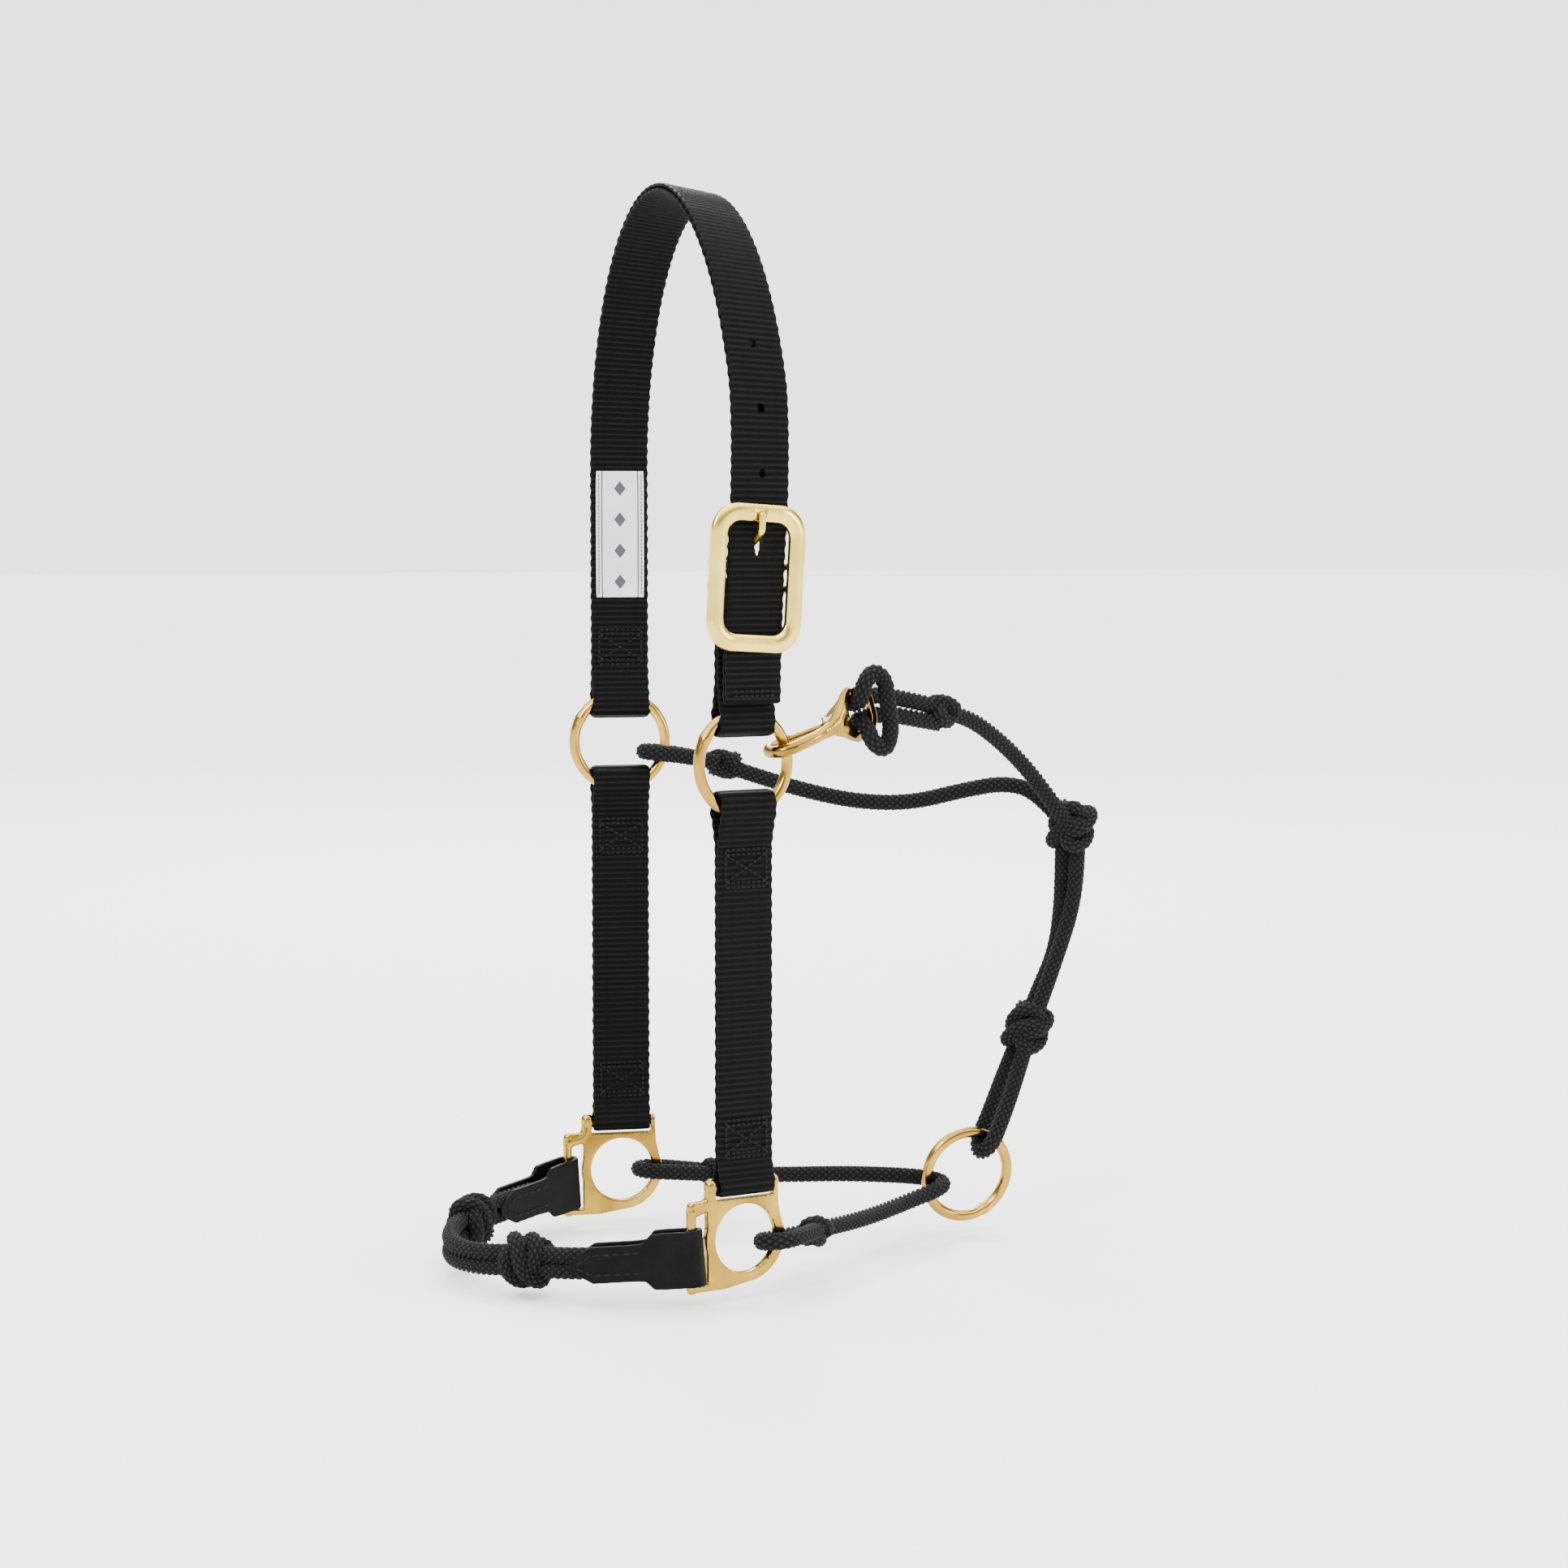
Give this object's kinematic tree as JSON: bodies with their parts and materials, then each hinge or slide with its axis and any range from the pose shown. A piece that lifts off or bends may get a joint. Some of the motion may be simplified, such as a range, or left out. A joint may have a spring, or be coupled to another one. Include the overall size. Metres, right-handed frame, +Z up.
{
  "type": "halter",
  "caption": "Webbing and rope halter: buckled crown, cheek straps on rings, rope noseband on leather tabs, chin and throat ropes with a snap.",
  "frame": {"origin": "underside of the crown strap at its highest point, where it rests on the poll", "axes": "+Z up, -X towards the nose, +Y towards the off (right) side"},
  "size_m": [0.2954, 0.1768, 0.4454],
  "materials": {
    "webbing": "ribbed black nylon webbing",
    "label_cloth": "silver-grey woven label",
    "thread": "black bonded thread",
    "rope": "black diamond-braided nylon rope",
    "leather": "smooth black bridle leather",
    "ring_brass": "polished brass wire",
    "buckle_brass": "satin brass",
    "cast_brass": "polished cast brass",
    "steel": "plain spring steel"
  },
  "bodies": {
    "headpiece": {"crown_strap": "webbing", "label": "label_cloth", "near_chape": "webbing", "buckle_frame": "buckle_brass", "crown_stitching": "thread", "label_stitching": "thread", "throat_upper_knot": "rope", "throat_near_branch": "rope", "near_branch_knot": "rope", "throat_off_branch": "rope", "off_ring_knot": "rope", "off_ring_loop": "rope"},
    "buckle_tongue": {"buckle_tongue": "buckle_brass"},
    "near_ring": {"near_ring": "ring_brass"},
    "off_ring": {"off_ring": "ring_brass"},
    "snap": {"snap_body": "cast_brass", "gate_pin": "steel", "gate_spring": "steel", "snap_hitch": "rope"},
    "snap_gate": {"snap_gate": "cast_brass"},
    "near_cheek": {"near_cheek_strap": "webbing", "near_cheek_stitching": "thread"},
    "off_cheek": {"off_cheek_strap": "webbing", "off_cheek_stitching": "thread"},
    "noseband": {"near_dee": "cast_brass", "near_tab": "leather", "off_tab": "leather", "near_tab_stitching": "thread", "off_tab_stitching": "thread", "nose_rope_upper": "rope", "nose_rope_lower": "rope", "near_nose_knot": "rope", "off_nose_knot": "rope", "chin_rope": "rope", "chin_near_loop": "rope", "chin_off_loop": "rope", "chin_near_knot": "rope", "chin_off_knot": "rope"},
    "off_dee": {"off_dee": "cast_brass"},
    "throat": {"throat_loop": "rope", "throat_lower_knot": "rope", "throat_strand_front": "rope", "throat_strand_back": "rope"},
    "tie_ring": {"tie_ring": "ring_brass"}
  },
  "joints": [
    {"name": "buckle_tongue_hinge", "type": "hinge", "parent": "headpiece", "child": "buckle_tongue", "pos_m": [-0.00106, -0.076, -0.15], "axis": [0.9877, 0.1564, 0], "range_deg": [0, 4]},
    {"name": "near_ring_turn", "type": "hinge", "parent": "headpiece", "child": "near_ring", "pos_m": [-0.00106, -0.076, -0.228], "axis": [0.1564, -0.9877, 0], "continuous": true},
    {"name": "off_ring_turn", "type": "hinge", "parent": "headpiece", "child": "off_ring", "pos_m": [0, 0.076, -0.228], "axis": [0.1564, 0.9877, 0], "continuous": true},
    {"name": "snap_swing", "type": "hinge", "parent": "headpiece", "child": "snap", "pos_m": [0.0179, -0.073, -0.222], "axis": [0, 0, 1], "range_deg": [-6, 6], "deforming": ["snap_hitch", "throat_near_branch"]},
    {"name": "snap_gate_hinge", "type": "hinge", "parent": "snap", "child": "snap_gate", "pos_m": [0.0431, -0.06438, -0.21316], "axis": [-0.3049, -0.0817, 0.9489], "range_deg": [0, 9], "stiffness_Nm_per_rad": 0.02, "springref_deg": -17.19},
    {"name": "noseband_sway", "type": "hinge", "parent": "headpiece", "child": "near_cheek", "pos_m": [-0.00106, -0.076, -0.24541], "axis": [1, 0, 0], "range_deg": [-6, 6]},
    {"name": "noseband_level", "type": "hinge", "parent": "near_cheek", "child": "noseband", "pos_m": [-0.00106, -0.076, -0.396], "axis": [1, 0, 0], "range_deg": [-6, 6], "deforming": ["chin_rope", "chin_off_loop"]},
    {"name": "off_cheek_sway", "type": "hinge", "parent": "headpiece", "child": "off_cheek", "pos_m": [0, 0.076, -0.24541], "axis": [1, 0, 0], "range_deg": [-6, 6]},
    {"name": "off_dee_level", "type": "hinge", "parent": "off_cheek", "child": "off_dee", "pos_m": [0, 0.076, -0.396], "axis": [1, 0, 0], "range_deg": [-6, 6]},
    {"name": "throat_sway", "type": "hinge", "parent": "headpiece", "child": "throat", "pos_m": [0.183, 0, -0.26541], "axis": [1, 0, 0], "range_deg": [-6, 6], "deforming": ["throat_strand_front", "throat_strand_back", "throat_loop"]},
    {"name": "tie_ring_turn", "type": "hinge", "parent": "throat", "child": "tie_ring", "pos_m": [0.133, 0, -0.416], "axis": [0, -0.9877, -0.1564], "continuous": true}
  ],
  "couplings": [
    {"joint": "noseband_level", "follows": "noseband_sway", "ratio": -1},
    {"joint": "off_cheek_sway", "follows": "noseband_sway", "ratio": 1},
    {"joint": "off_dee_level", "follows": "noseband_sway", "ratio": -1},
    {"joint": "throat_sway", "follows": "noseband_sway", "ratio": 1}
  ]
}
